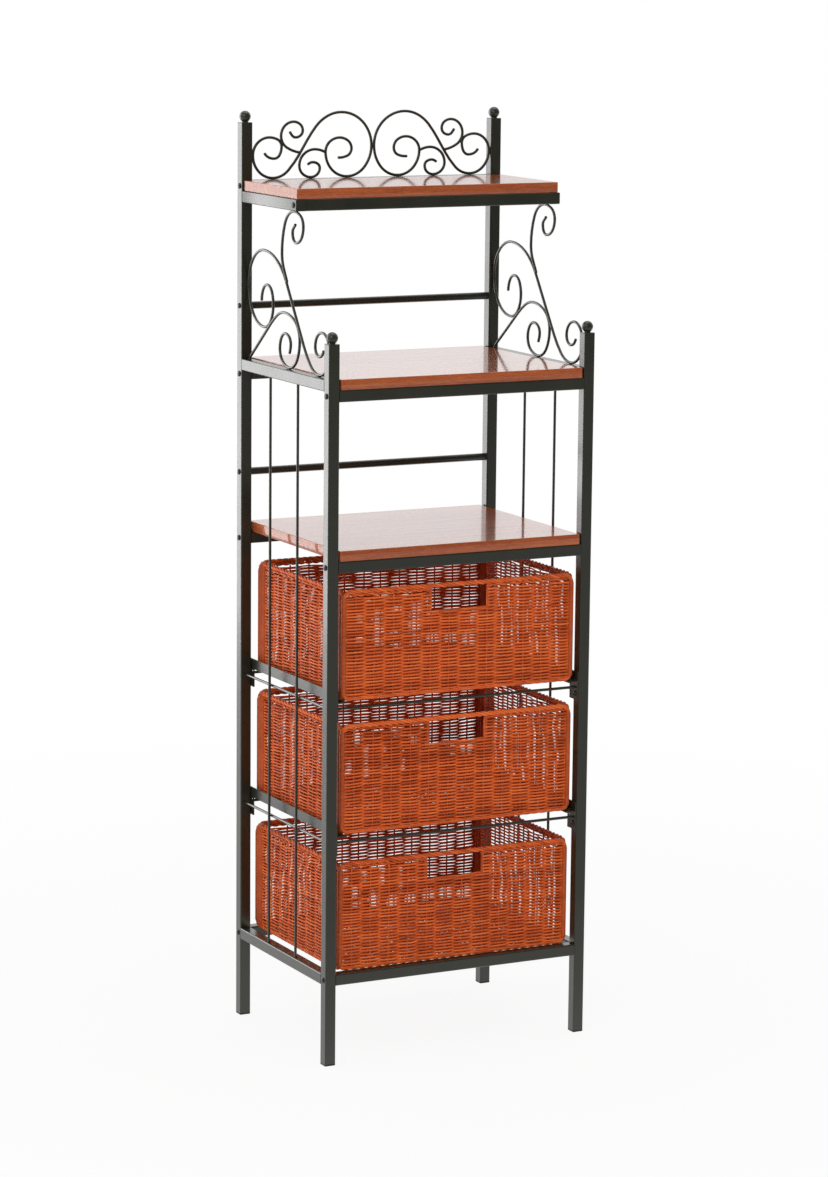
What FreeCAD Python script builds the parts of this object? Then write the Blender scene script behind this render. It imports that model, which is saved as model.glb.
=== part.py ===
"""Bakers rack: a square-tube steel frame with three boards, wire scrollwork and three baskets.

Two welded side frames are joined by rails that bolt between their posts.  Scrolls of bent
wire fill the crest above the top shelf and both sides below it.  Three woven baskets slide
forwards, two on angle runners and the lowest on the bottom rails.

Millimetres.  The origin is the middle of the footprint on the floor.  +X is to the right of
someone who faces the rack, +Y is towards its back and +Z is up.
"""
import FreeCAD, Part
import math
import os

V = FreeCAD.Vector
X_AXIS = V(1, 0, 0)
Y_AXIS = V(0, 1, 0)
Z_AXIS = V(0, 0, 1)

# ---------------------------------------------------------------- driving dimensions
# Square tube frame
rack_width = 508.0
rack_depth = 370.0
tube_side = 20.0
tube_wall = 1.2
tube_corner_cut = 1.4           # flat across each rounded corner of the tube
front_post_top = 1243.0
back_post_top = 1592.0

# Levels: the tops of the rails that carry the boards, and the two round back tubes
bottom_rail_top = 161.0
lower_rail_top = 877.0
middle_rail_top = 1167.0
top_rail_top = 1476.0
upper_back_tube_level = 1276.0
lower_back_tube_level = 984.0
back_tube_diameter = 13.0
back_tube_sides = 12

# Boards
board_thickness = 18.0
board_corner_cut = 2.0
board_post_clearance = 3.0
side_rail_drop = 1.2            # middle side rails lie this far below the board's face
top_arm_length = 218.3          # from the front face of a back post to the arm's end
top_board_side_inset = 3.0
top_board_front_inset = 1.3
top_board_back_clearance = 2.0

# Finials and feet
ball_diameter = 19.8
ball_centre_height = 11.5       # above the post's end
ball_neck_diameter = 11.5
ball_sides = 12
ball_rings = 6
cap_thickness = 1.5
foot_thickness = 3.0
plug_length = 15.0
plug_clearance = 0.1            # per side, between a plug and the inside of its tube

# Bolts between the side frames and the rails
bolt_diameter = 6.0
bolt_head_diameter = 10.0
bolt_head_height = 3.0
bolt_head_crown = 5.6           # width of the flat on top of the head
bolt_clearance = 0.2            # per side, in the holes that a bolt passes through
bolt_grip = 12.0                # length of thread inside a rail's insert
head_sides = 8
shank_sides = 6
insert_length = 16.0

# Scroll wire
wire_diameter = 5.0
crest_height = 117.1
crest_plane_inset = 4.5         # wire centre behind the front faces of the back posts
side_scroll_inset = 12.0        # wire centre in from the outer faces of the side frames
wire_sides = 6                  # the section is a polygon that wraps the round wire
bend_sag = 1.0                  # how far a straight facet of the wire leaves its true bend
bend_step_limit = 30.0          # degrees, the most that a facet turns
bend_least_turn = 0.2           # degrees, below which an arc counts as straight

# Straight rods of the sides
side_rod_diameter = 4.8
side_rod_inset = 4.5            # rod centre in from the outer face
side_rod_spacing = 110.0
weld_clearance = 0.05
rod_sides = 8

# Runners and their cross rods
upper_seat_level = 635.0        # top of the ledge that a basket slides on
middle_seat_level = 402.5
runner_thickness = 2.0
runner_height = 18.0
runner_ledge = 20.0
runner_end_inset = 2.0
plate_depth = 28.0
plate_bottom_drop = 34.0        # below the ledge's top, as are the next three
plate_bolt_drop = 23.0
plate_hole_drop = 7.0
cross_rod_drop = 12.0
runner_bolt_length = 8.0
plate_hole_diameter = 7.0
plate_hole_offset = 4.8         # hole centre clear of the post's face
cross_rod_diameter = 5.0

# Baskets
basket_side_clearance = 7.0     # between a basket and the upstand of each runner
basket_depth_clearance = 26.0   # by which a basket is less deep than the rack
basket_height = 192.0
basket_wall = 6.0               # over the stakes, where the weave is thickest
basket_border_inset = 0.5       # bottom border behind the outer side of the corner rods
stake_pitch = 36.0              # between two upright stakes
weave_relief = 2.8              # from the bulge over a stake down to the hollow beside it
basket_rim_diameter = 8.0
basket_rim_corner_radius = 12.0
corner_rod_width = 9.0
corner_rod_count = 3
handle_width = 107.0
handle_bottom_drop = 47.0       # lower edge of the hand hole below the basket's top
seat_clearance = 0.3
upper_basket_inset = 4.0        # basket front behind the front faces of the posts
middle_basket_inset = 7.0
lower_basket_inset = 12.0

cut_overshoot = 1.0             # how far a cutting tool runs past the faces that it opens

# ---------------------------------------------------------------- worked out from them
half_width = rack_width / 2
half_depth = rack_depth / 2
post_x = half_width - tube_side / 2
post_inner_x = half_width - tube_side
front_post_y = -half_depth + tube_side / 2
back_post_y = half_depth - tube_side / 2
front_post_rear_y = front_post_y + tube_side / 2
back_post_front_y = back_post_y - tube_side / 2
arm_front_y = back_post_front_y - top_arm_length
top_front_rail_y = arm_front_y + tube_side / 2
top_back_rail_top = top_rail_top + board_thickness
middle_side_rail_top = middle_rail_top + board_thickness - side_rail_drop
tube_bore = tube_side - 2 * tube_wall
back_tube_bore = back_tube_diameter - 2 * tube_wall
plug_side = tube_bore - 2 * plug_clearance
bolt_hole_width = bolt_diameter + 2 * bolt_clearance
wire_radius = wire_diameter / 2
runner_inner_x = post_inner_x - runner_thickness
basket_width = 2 * (runner_inner_x - basket_side_clearance)
basket_depth = rack_depth - basket_depth_clearance
basket_wall_top = basket_height - basket_rim_diameter
basket_rim_inset = corner_rod_width / 2

# Rails that run across, as (name, y of the centre line, top)
square_rails = [
    ("bottom_front_rail", front_post_y, bottom_rail_top),
    ("bottom_back_rail", back_post_y, bottom_rail_top),
    ("lower_front_rail", front_post_y, lower_rail_top),
    ("lower_back_rail", back_post_y, lower_rail_top),
    ("middle_front_rail", front_post_y, middle_rail_top),
    ("middle_back_rail", back_post_y, middle_rail_top),
    ("top_front_rail", top_front_rail_y, top_rail_top),
    ("top_back_rail", back_post_y, top_back_rail_top),
]
back_tubes = [
    ("lower_back_tube", lower_back_tube_level),
    ("upper_back_tube", upper_back_tube_level),
]
runner_levels = [("upper", upper_seat_level), ("middle", middle_seat_level)]

# Baskets, as (name, front behind the posts' front faces, level of what it slides on)
baskets = [
    ("upper", upper_basket_inset, upper_seat_level),
    ("middle", middle_basket_inset, middle_seat_level),
    ("lower", lower_basket_inset, bottom_rail_top),
]

# ---------------------------------------------------------------- scroll patterns
# Each wire is a list of (across, up, heading in degrees).  The heading is the way the wire
# runs there, anticlockwise from across, and a pair of tangent arcs joins each two points.
# The outermost points of a pattern are where its wires touch a post, rail or arm, and the
# pattern is stretched so that they still do on a rack of another size.
crest_wires = [
    # the great scroll: inner curl, arch, and the curl against the post
    [(68, 35.5, 185), (41.5, 51, 90), (65, 70.3, 0), (92, 45.5, -90), (50, 2.5, -180),
     (2.5, 55.5, -270), (62, 114.6, -360), (111, 90, -411), (143, 42, -418),
     (193, 2.5, -360), (231.5, 42, -270), (200.5, 72.8, -180), (176.8, 56.5, -90),
     (191, 36, 0), (209.5, 46, 62)],
    # the small curl between the two rings
    [(94.5, 46.5, 25), (113, 50.8, 0), (142.5, 23, -90), (120, 2.5, -180), (103, 18, -270),
     (116.5, 28.4, -360), (126.5, 24.3, -400)],
    # the bud above the saddle
    [(142, 45.8, 8), (177.8, 75, 90), (154, 99.2, 180), (136.2, 84, 270), (149.5, 72, 360),
     (161.4, 82.2, 420)],
]
side_wires = [
    # the hook under the arm
    [(138.5, 247.2, -48), (150.2, 232.5, -90), (135.8, 216, -180), (107.9, 244.3, -270),
     (143.5, 268.5, -360), (192.2, 195, -450), (171.5, 147.4, -484)],
    # the long sweep from the back post's curl down to the front post's curl
    [(273.6, 106.3, 90), (250, 135.6, 180), (226.3, 103, 270), (263.4, 62, 360),
     (327.5, 130.6, 450), (263.7, 194, 540), (174.5, 147.3, 595), (104, 45, 595),
     (43, 2.5, 540), (2.5, 40, 450), (32, 74.5, 360), (59.1, 49, 270), (43.2, 33.2, 180),
     (26.2, 45.4, 110)],
    # the low scroll along the rail
    [(321.4, 3.5, 142), (237, 69.5, 141), (180.4, 94.5, 180), (120, 51, 270),
     (160, 2.5, 360), (199, 32, 450), (175.6, 59.3, 540), (155.5, 42, 630),
     (160.1, 26.6, 655)],
]


# ---------------------------------------------------------------- shape helpers
def save(name, shape):
    shape.exportStep("parts/" + name + ".step")


def mirrored(shape):
    """The same shape on the other side of the rack."""
    return shape.mirror(V(0, 0, 0), X_AXIS)


def both_sides(right_solids):
    """One node of separate solids: those on the right and their twins on the left."""
    return Part.Compound(right_solids + [mirrored(solid) for solid in right_solids])


def save_pair(name, right_shape):
    save(name + "_right", right_shape)
    save(name + "_left", mirrored(right_shape))


def box(x_range, y_range, z_range):
    size = [high - low for low, high in (x_range, y_range, z_range)]
    return Part.makeBox(size[0], size[1], size[2], V(x_range[0], y_range[0], z_range[0]))


def cut_rectangle(width, depth, corner_cut):
    """Face about the origin in the XY plane: a rectangle with a flat across each corner."""
    points = []
    for turn in range(4):
        reach, run = (width / 2, depth / 2) if turn % 2 == 0 else (depth / 2, width / 2)
        for corner in (V(reach, run - corner_cut, 0), V(reach - corner_cut, run, 0)):
            points.append(FreeCAD.Rotation(Z_AXIS, 90 * turn).multVec(corner))
    return Part.Face(Part.makePolygon(points + points[:1]))


def placed(shape, start, run):
    """The shape moved so that its origin is at start and its Z axis lies along the run."""
    shape.Placement = FreeCAD.Placement(start, FreeCAD.Rotation(Z_AXIS, run))
    return shape


def tube_section():
    return cut_rectangle(tube_side, tube_side, tube_corner_cut)


def square_tube(start, end):
    """Square tube between the centres of its two end faces."""
    run = end.sub(start)
    outside = tube_section().extrude(V(0, 0, run.Length))
    half = tube_bore / 2
    bore = box((-half, half), (-half, half), (0, run.Length))
    return placed(outside.cut(bore), start, run)


def polygon_section(across_flats, sides, level=0):
    """Closed wire of a regular polygon about the origin, with a flat facing +X."""
    corner_radius = across_flats / 2 / math.cos(math.pi / sides)
    points = [V(corner_radius * math.cos(math.pi / sides * (2 * i + 1)),
                corner_radius * math.sin(math.pi / sides * (2 * i + 1)), level)
              for i in range(sides)]
    return Part.makePolygon(points + points[:1])


def polygon_bar(start, end, across_flats, sides):
    run = end.sub(start)
    bar = Part.Face(polygon_section(across_flats, sides)).extrude(V(0, 0, run.Length))
    return placed(bar, start, run)


def rod(start, end, diameter):
    """Thin straight rod, eight-sided like a faceted wire."""
    return polygon_bar(start, end, diameter, rod_sides)


def bolt(face, inward):
    """Bolt whose button head lies on the point 'face', with its shank running inward."""
    levels = [(bolt_head_diameter, 0), (bolt_head_crown, -bolt_head_height)]
    sections = [polygon_section(width, head_sides, level) for width, level in levels]
    head = Part.makeLoft(sections, True, True)
    shank = polygon_bar(face, face.add(inward), bolt_diameter, shank_sides)
    return placed(head, face, inward).fuse(shank)


def bolt_hole(y, z):
    """Clearance hole for a bolt through the right-hand post or arm."""
    return polygon_bar(V(post_inner_x - cut_overshoot, y, z),
                       V(half_width + cut_overshoot, y, z), bolt_hole_width, shank_sides)


# ---------------------------------------------------------------- bent wire
def heading_vector(degrees):
    return V(math.cos(math.radians(degrees)), math.sin(math.radians(degrees)), 0)


def biarc_joint(start, start_heading, end, end_heading):
    """Point where two tangent arcs that join the given ends meet."""
    leave = heading_vector(start_heading)
    arrive = heading_vector(end_heading)
    chord = end.sub(start)
    both = leave.add(arrive)
    spread = 1 - leave.dot(arrive)
    if spread < 1e-9:
        reach = chord.dot(chord) / (4 * chord.dot(arrive))
    else:
        along = chord.dot(both)
        reach = (math.sqrt(along ** 2 + 2 * spread * chord.dot(chord)) - along) / (2 * spread)
    return (start + leave * reach + end - arrive * reach) * 0.5


def arc_corners(start, heading, end):
    """Corners of straight facets that wrap one arc, and the heading at its end."""
    chord = end.sub(start)
    tangent = heading_vector(heading)
    half_turn = math.atan2(tangent.x * chord.y - tangent.y * chord.x, tangent.dot(chord))
    turn = math.degrees(2 * half_turn)
    if abs(turn) < bend_least_turn:
        return [], heading + turn
    radius = chord.Length / (2 * math.sin(half_turn))
    flat_step = 2 * math.degrees(math.acos(max(1 - bend_sag / abs(radius), 0.5)))
    count = max(1, math.ceil(abs(turn) / min(flat_step, bend_step_limit)))
    centre = start + V(-tangent.y, tangent.x, 0) * radius
    spoke = start.sub(centre) * (1 / math.cos(math.radians(turn / count / 2)))
    corners = []
    for index in range(count):
        sweep = FreeCAD.Rotation(Z_AXIS, turn * (index + 0.5) / count)
        corners.append(centre + sweep.multVec(spoke))
    return corners, heading + turn


def facet_path(nodes):
    """Corners of the faceted line that follows the tangent arcs through the nodes."""
    corners = []
    for (x0, y0, heading0), (x1, y1, heading1) in zip(nodes[:-1], nodes[1:]):
        start = V(x0, y0, 0)
        end = V(x1, y1, 0)
        joint = biarc_joint(start, heading0, end, heading1)
        first, joint_heading = arc_corners(start, heading0, joint)
        second, _ = arc_corners(joint, joint_heading, end)
        corners += first + second
    return corners


def bent_bar(nodes, across_flats, sides, closed=False):
    """Bar of regular section, mitred at each facet, in the XY plane with its flats upright."""
    path = facet_path(nodes)
    if not closed:
        path = [V(nodes[0][0], nodes[0][1], 0)] + path + [V(nodes[-1][0], nodes[-1][1], 0)]
    section = [vertex.Point for vertex in polygon_section(across_flats, sides).Vertexes]
    rings = []
    last = len(path) - 1
    for index, point in enumerate(path):
        before = path[index - 1] if index > 0 or closed else None
        after = path[(index + 1) % len(path)] if index < last or closed else None
        runs = [run.normalize() for run in
                ([point.sub(before)] if before else []) + ([after.sub(point)] if after else [])]
        normals = [V(-run.y, run.x, 0) for run in runs]
        mitre = normals[0].add(normals[-1]).normalize()
        mitre = mitre * (1 / mitre.dot(normals[0]))
        rings.append([point + mitre * corner.x + Z_AXIS * corner.y for corner in section])
    faces = []
    pairs = list(zip(rings, rings[1:] + rings[:1])) if closed else list(zip(rings, rings[1:]))
    for ring, following in pairs:
        for i in range(sides):
            j = (i + 1) % sides
            quad = [ring[i], ring[j], following[j], following[i], ring[i]]
            faces.append(Part.Face(Part.makePolygon(quad)))
    if not closed:
        faces.append(Part.Face(Part.makePolygon(rings[0] + rings[0][:1])))
        faces.append(Part.Face(Part.makePolygon(rings[-1] + rings[-1][:1])))
    shell = Part.Shell(faces)
    shell.sewShape()
    bar = Part.Solid(shell)
    if bar.Volume < 0:
        bar.reverse()
    return bar


def stretched(wires, real_size):
    """Wires scaled so that their outermost points lie a wire's radius inside the size."""
    points = [point for wire in wires for point in wire]
    low = [min(point[axis] for point in points) for axis in (0, 1)]
    high = [max(point[axis] for point in points) for axis in (0, 1)]
    scale = [(real_size[axis] - wire_diameter) / (high[axis] - low[axis]) for axis in (0, 1)]
    return [[(wire_radius + (across - low[0]) * scale[0],
              wire_radius + (up - low[1]) * scale[1], heading)
             for across, up, heading in wire] for wire in wires]


def scroll_panel(wires, corner, across_axis):
    """Welded wires in an upright plane: across runs along the given axis and up along Z."""
    bars = [bent_bar(wire, wire_diameter, wire_sides) for wire in wires]
    panel = bars[0].multiFuse(bars[1:])
    outward = across_axis.cross(Z_AXIS)
    panel.Placement = FreeCAD.Placement(corner, FreeCAD.Rotation(across_axis, Z_AXIS, outward))
    return panel


# ---------------------------------------------------------------- frame
def make_posts():
    posts = [("front", front_post_y, front_post_top), ("back", back_post_y, back_post_top)]
    for place, y, top in posts:
        post = square_tube(V(post_x, y, foot_thickness), V(post_x, y, top))
        levels = [rail_top - tube_side / 2 for _, rail_y, rail_top in square_rails
                  if rail_y == y]
        if place == "back":
            levels += [level for _, level in back_tubes]
        holes = [bolt_hole(y, level) for level in levels]
        for _, seat in runner_levels:
            level = seat - plate_bolt_drop
            holes.append(polygon_bar(V(post_inner_x - cut_overshoot, y, level),
                                     V(post_x, y, level), bolt_hole_width, shank_sides))
        save_pair(place + "_post", post.cut(holes))
    finials = [finial(y, top) for _, y, top in posts]
    feet = [foot_plug(y) for _, y, _ in posts]
    for name, solids in (("post_finials", finials), ("post_feet", feet)):
        save(name, both_sides(solids))


def tube_plug(y, low, high):
    half = plug_side / 2
    return box((post_x - half, post_x + half), (y - half, y + half), (low, high))


def tube_cap(y, low, thickness):
    return placed(tube_section().extrude(V(0, 0, thickness)), V(post_x, y, low), Z_AXIS)


def finial(y, top):
    """Ball on a short neck, on a cap whose plug goes down into the post."""
    ball_radius = ball_diameter / 2
    neck_latitude = math.degrees(math.asin(ball_neck_diameter / ball_diameter))
    step = (180 - neck_latitude) / ball_rings
    rings = [(ball_neck_diameter, cap_thickness)]
    for index in range(ball_rings):
        angle = math.radians(180 - neck_latitude - step * index)
        rings.append((ball_diameter * math.sin(angle),
                      ball_centre_height + ball_radius * math.cos(angle)))
    sections = [polygon_section(width, ball_sides, level) for width, level in rings]
    crown = V(0, 0, ball_centre_height + ball_radius)
    ball = Part.makeLoft(sections + [Part.Vertex(crown)], True, True)
    ball = placed(ball, V(post_x, y, top), Z_AXIS)
    cap = tube_cap(y, top, cap_thickness)
    return cap.multiFuse([ball, tube_plug(y, top - plug_length, top)])


def foot_plug(y):
    """Plastic glide under the post, with a plug up into it."""
    glide = tube_cap(y, 0, foot_thickness)
    return glide.fuse(tube_plug(y, foot_thickness, foot_thickness + plug_length))


def make_rails():
    for name, y, top in square_rails:
        level = top - tube_side / 2
        save(name, square_tube(V(-post_inner_x, y, level), V(post_inner_x, y, level)))
    for name, level in back_tubes:
        ends = [V(x, back_post_y, level) for x in (-post_inner_x, post_inner_x)]
        outer = polygon_bar(ends[0], ends[1], back_tube_diameter, back_tube_sides)
        save(name, outer.cut(polygon_bar(ends[0], ends[1], back_tube_bore, back_tube_sides)))
    for name, top in (("bottom_side_rail", bottom_rail_top),
                      ("middle_side_rail", middle_side_rail_top)):
        level = top - tube_side / 2
        save_pair(name, square_tube(V(post_x, front_post_rear_y, level),
                                    V(post_x, back_post_front_y, level)))


def make_top_arms():
    """Arms that carry the top shelf, closed at the front by a welded plate."""
    level = top_rail_top - tube_side / 2
    arm = square_tube(V(post_x, arm_front_y, level), V(post_x, back_post_front_y, level))
    half_bore = tube_bore / 2
    end_plate = box((post_x - half_bore, post_x + half_bore),
                    (arm_front_y, arm_front_y + tube_wall),
                    (level - half_bore, level + half_bore))
    save_pair("top_arm", arm.fuse(end_plate).cut(bolt_hole(top_front_rail_y, level)))


def make_fasteners():
    """Bolts through the side frames, and the threaded plugs in the rails' ends."""
    bolts = []
    inserts = []
    shank = V(-(tube_side + bolt_grip), 0, 0)
    joints = [(y, top - tube_side / 2, False) for _, y, top in square_rails]
    joints += [(back_post_y, level, True) for _, level in back_tubes]
    for y, level, is_round in joints:
        bolts.append(bolt(V(half_width, y, level), shank))
        inner = V(post_inner_x - insert_length, y, level)
        outer = V(post_inner_x, y, level)
        if is_round:
            block = polygon_bar(inner, outer, back_tube_bore - 2 * plug_clearance,
                                back_tube_sides)
        else:
            half = plug_side / 2
            block = box((inner.x, outer.x), (y - half, y + half), (level - half, level + half))
        inserts.append(block.cut(polygon_bar(inner, outer, bolt_diameter, shank_sides)))
    save("rail_bolts", both_sides(bolts))
    save("rail_inserts", both_sides(inserts))


def make_side_rods():
    """Two uprights on each side, and the two thin braces that are welded behind them."""
    rod_x = half_width - side_rod_inset
    uprights = [rod(V(rod_x, y, bottom_rail_top),
                    V(rod_x, y, middle_side_rail_top - tube_side), side_rod_diameter)
                for y in (-side_rod_spacing / 2, side_rod_spacing / 2)]
    save_pair("side_rods", Part.Compound(uprights))
    brace_x = rod_x - side_rod_diameter - weld_clearance
    for place, seat in runner_levels:
        level = seat - cross_rod_drop
        save_pair(place + "_side_brace",
                  rod(V(brace_x, front_post_rear_y, level),
                      V(brace_x, back_post_front_y, level), side_rod_diameter))


# ---------------------------------------------------------------- scrollwork
def make_scrolls():
    crest_half = stretched(crest_wires, (post_inner_x, crest_height))
    crest_y = back_post_front_y + crest_plane_inset
    half = scroll_panel(crest_half, V(0, crest_y, top_back_rail_top), X_AXIS)
    save("crest_scrollwork", half.fuse(mirrored(half)))
    side_span = back_post_front_y - front_post_rear_y
    side_rise = top_rail_top - tube_side - middle_side_rail_top
    side = stretched(side_wires, (side_span, side_rise))
    corner = V(half_width - side_scroll_inset, front_post_rear_y, middle_side_rail_top)
    save_pair("side_scrollwork", scroll_panel(side, corner, Y_AXIS))


# ---------------------------------------------------------------- boards
def board(half_x, front_y, back_y, bottom):
    slab = cut_rectangle(2 * half_x, back_y - front_y, board_corner_cut)
    slab = slab.extrude(V(0, 0, board_thickness))
    return placed(slab, V(0, (front_y + back_y) / 2, bottom), Z_AXIS)


def make_boards():
    between_posts = post_inner_x - board_post_clearance
    save("lower_board", board(between_posts, -half_depth, half_depth, lower_rail_top))
    save("middle_board", board(between_posts, -half_depth, half_depth, middle_rail_top))
    save("top_board", board(half_width - top_board_side_inset,
                            arm_front_y + top_board_front_inset,
                            back_post_front_y - top_board_back_clearance, top_rail_top))


# ---------------------------------------------------------------- runners
def make_runners():
    """Angle runners with an end plate at each post, and the rods across between them."""
    bolts = []
    run_end = half_depth - runner_end_inset
    for place, seat in runner_levels:
        bottom = seat - runner_thickness
        upstand = box((runner_inner_x, post_inner_x), (-run_end, run_end),
                      (bottom, bottom + runner_height))
        ledge = box((post_inner_x - runner_ledge, post_inner_x), (-run_end, run_end),
                    (bottom, seat))
        plates = [box((runner_inner_x, post_inner_x), y_range,
                      (seat - plate_bottom_drop, bottom))
                  for y_range in ((-run_end, plate_depth - run_end),
                                  (run_end - plate_depth, run_end))]
        runner = upstand.multiFuse([ledge] + plates).removeSplitter()
        holes = []
        for end, post_y, post_face_y in ((-1, front_post_y, front_post_rear_y),
                                         (1, back_post_y, back_post_front_y)):
            level = seat - plate_bolt_drop
            spots = [(post_y, level, bolt_hole_width, shank_sides),
                     (post_face_y - end * plate_hole_offset, seat - plate_hole_drop,
                      plate_hole_diameter, rod_sides)]
            for y, z, width, sides in spots:
                holes.append(polygon_bar(V(runner_inner_x - cut_overshoot, y, z),
                                         V(post_inner_x + cut_overshoot, y, z),
                                         width, sides))
            bolts.append(bolt(V(runner_inner_x, post_y, level), V(runner_bolt_length, 0, 0)))
        save_pair(place + "_runner", runner.cut(holes))
        level = seat - cross_rod_drop
        for side_name, y in (("front", front_post_y), ("rear", back_post_y)):
            save(place + "_" + side_name + "_cross_rod",
                 rod(V(-runner_inner_x, y, level), V(runner_inner_x, y, level),
                     cross_rod_diameter))
    save("runner_bolts", both_sides(bolts))


# ---------------------------------------------------------------- baskets
# Each basket is shaped about the middle of its own underside and then moved to its seat.
def woven_wall(half_length):
    """Wall along X whose outer side, at y = 0, bulges over each upright stake.

    The middle of the wall lies between two stakes.
    """
    half_pitch = stake_pitch / 2
    turns = math.ceil(half_length / half_pitch) - 1
    places = [i * half_pitch for i in range(-turns, turns + 1)]
    outline = []
    for x in [-half_length] + places + [half_length]:
        from_stake = abs(math.remainder(x - half_pitch, stake_pitch))
        outline.append(V(x, weave_relief * from_stake / half_pitch, 0))
    outline += [V(half_length, basket_wall, 0), V(-half_length, basket_wall, 0), outline[0]]
    return Part.Face(Part.makePolygon(outline)).extrude(V(0, 0, basket_wall_top))


def basket_weave():
    """Woven walls between the corner rods, the floor and its border, and the hand hole."""
    across_half = basket_width / 2 - corner_rod_width
    along_half = basket_depth / 2 - corner_rod_width * corner_rod_count
    border_half_x = basket_width / 2 - basket_border_inset
    border_half_y = basket_depth / 2 - basket_border_inset
    floor = box((-across_half, across_half), (-border_half_y, border_half_y), (0, basket_wall))
    floor = floor.fuse(box((-border_half_x, border_half_x), (-along_half, along_half),
                           (0, basket_wall)))
    wall_inset = basket_rim_inset - basket_wall / 2
    wall_sizes = [(across_half, basket_depth / 2), (along_half, basket_width / 2)]
    walls = []
    for quarter in range(4):
        half_length, outer_side = wall_sizes[quarter % 2]
        wall = woven_wall(half_length)
        wall.translate(V(0, wall_inset - outer_side, 0))
        wall.rotate(V(0, 0, 0), Z_AXIS, 90 * quarter)
        walls.append(wall)
    inner_face = -basket_depth / 2 + wall_inset + basket_wall
    hand_hole = box((-handle_width / 2, handle_width / 2),
                    (-basket_depth / 2, inner_face + cut_overshoot),
                    (basket_height - handle_bottom_drop, basket_height))
    return floor.fuse(walls).removeSplitter().cut(hand_hole)


def basket_corner_rods():
    """A row of upright rods at each corner, from the floor up to the rim."""
    x = basket_width / 2 - basket_rim_inset
    rods = []
    for index in range(corner_rod_count):
        y = basket_depth / 2 - corner_rod_width * (index + 0.5)
        for corner_x, corner_y in ((x, y), (-x, y), (-x, -y), (x, -y)):
            rods.append(rod(V(corner_x, corner_y, 0), V(corner_x, corner_y, basket_wall_top),
                            corner_rod_width))
    return Part.Compound(rods)


def basket_rim():
    x = basket_width / 2 - basket_rim_inset
    y = basket_depth / 2 - basket_rim_inset
    radius = basket_rim_corner_radius
    nodes = [(radius - x, -y, 0), (x - radius, -y, 0), (x, radius - y, 90),
             (x, y - radius, 90), (x - radius, y, 180), (radius - x, y, 180),
             (-x, y - radius, 270), (-x, radius - y, 270), (radius - x, -y, 360)]
    rim = bent_bar(nodes, basket_rim_diameter, rod_sides, closed=True)
    rim.translate(V(0, 0, basket_height - basket_rim_diameter / 2))
    return rim


def make_baskets():
    for place, inset, seat in baskets:
        spot = V(0, inset - half_depth + basket_depth / 2, seat + seat_clearance)
        for part_name, shape in (("weave", basket_weave()), ("rim", basket_rim()),
                                 ("corner_rods", basket_corner_rods())):
            shape.translate(spot)
            save(place + "_basket_" + part_name, shape)


os.makedirs("parts", exist_ok=True)
make_posts()
make_rails()
make_top_arms()
make_fasteners()
make_side_rods()
make_scrolls()
make_boards()
make_runners()
make_baskets()
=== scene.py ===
"""Bakers rack: the finish of its steel frame, cherry boards and woven cane baskets.

Metres, in the frame's own axes: +X to the right of someone who faces the rack, +Y towards its
back and +Z up.  The square tubes, boards and turned parts are made from the boxes of the
nodes that they dress.  Bent wire, cane, fasteners and welds grow from Geometry Nodes trees.
"""

import cmath
import math
from types import SimpleNamespace

import bpy
from mathutils import Matrix, Vector


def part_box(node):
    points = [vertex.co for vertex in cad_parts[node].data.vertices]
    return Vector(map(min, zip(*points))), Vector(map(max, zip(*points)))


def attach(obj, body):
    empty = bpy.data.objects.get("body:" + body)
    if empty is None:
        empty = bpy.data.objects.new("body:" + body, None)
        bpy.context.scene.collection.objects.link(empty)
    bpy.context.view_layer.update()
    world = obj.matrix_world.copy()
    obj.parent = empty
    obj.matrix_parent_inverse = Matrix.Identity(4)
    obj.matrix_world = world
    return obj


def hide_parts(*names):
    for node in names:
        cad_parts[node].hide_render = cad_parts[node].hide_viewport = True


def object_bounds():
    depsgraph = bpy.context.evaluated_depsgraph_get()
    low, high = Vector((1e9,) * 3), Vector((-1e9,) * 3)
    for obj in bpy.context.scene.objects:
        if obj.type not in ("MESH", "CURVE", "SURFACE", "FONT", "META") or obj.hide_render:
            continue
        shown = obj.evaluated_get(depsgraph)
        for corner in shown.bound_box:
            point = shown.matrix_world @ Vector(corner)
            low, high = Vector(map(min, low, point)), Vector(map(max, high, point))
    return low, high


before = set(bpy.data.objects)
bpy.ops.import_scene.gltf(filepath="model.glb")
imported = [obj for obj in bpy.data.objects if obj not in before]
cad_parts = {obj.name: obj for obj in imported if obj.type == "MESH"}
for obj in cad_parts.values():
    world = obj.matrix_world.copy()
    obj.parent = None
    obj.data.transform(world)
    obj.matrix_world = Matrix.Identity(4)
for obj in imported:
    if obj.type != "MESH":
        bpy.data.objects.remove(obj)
cad_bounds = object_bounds()

MM = 0.001
X_AXIS, Y_AXIS, Z_AXIS = Vector((1, 0, 0)), Vector((0, 1, 0)), Vector((0, 0, 1))

# ---- sizes of the finish
tube_corner_radius = 2.0 * MM       # rolled corners of the square tube
board_corner_radius = 2.5 * MM
board_edge_radius = 1.2 * MM
flat_margin = 0.4 * MM              # of flat beside a rounding, which keeps its shading flat
wire_radius = 2.5 * MM
cut_tip = 0.72                      # girth of a wire's eased end
straight_rod_radius = 2.4 * MM
cross_rod_radius = 2.5 * MM
back_tube_radius = 6.5 * MM

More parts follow.
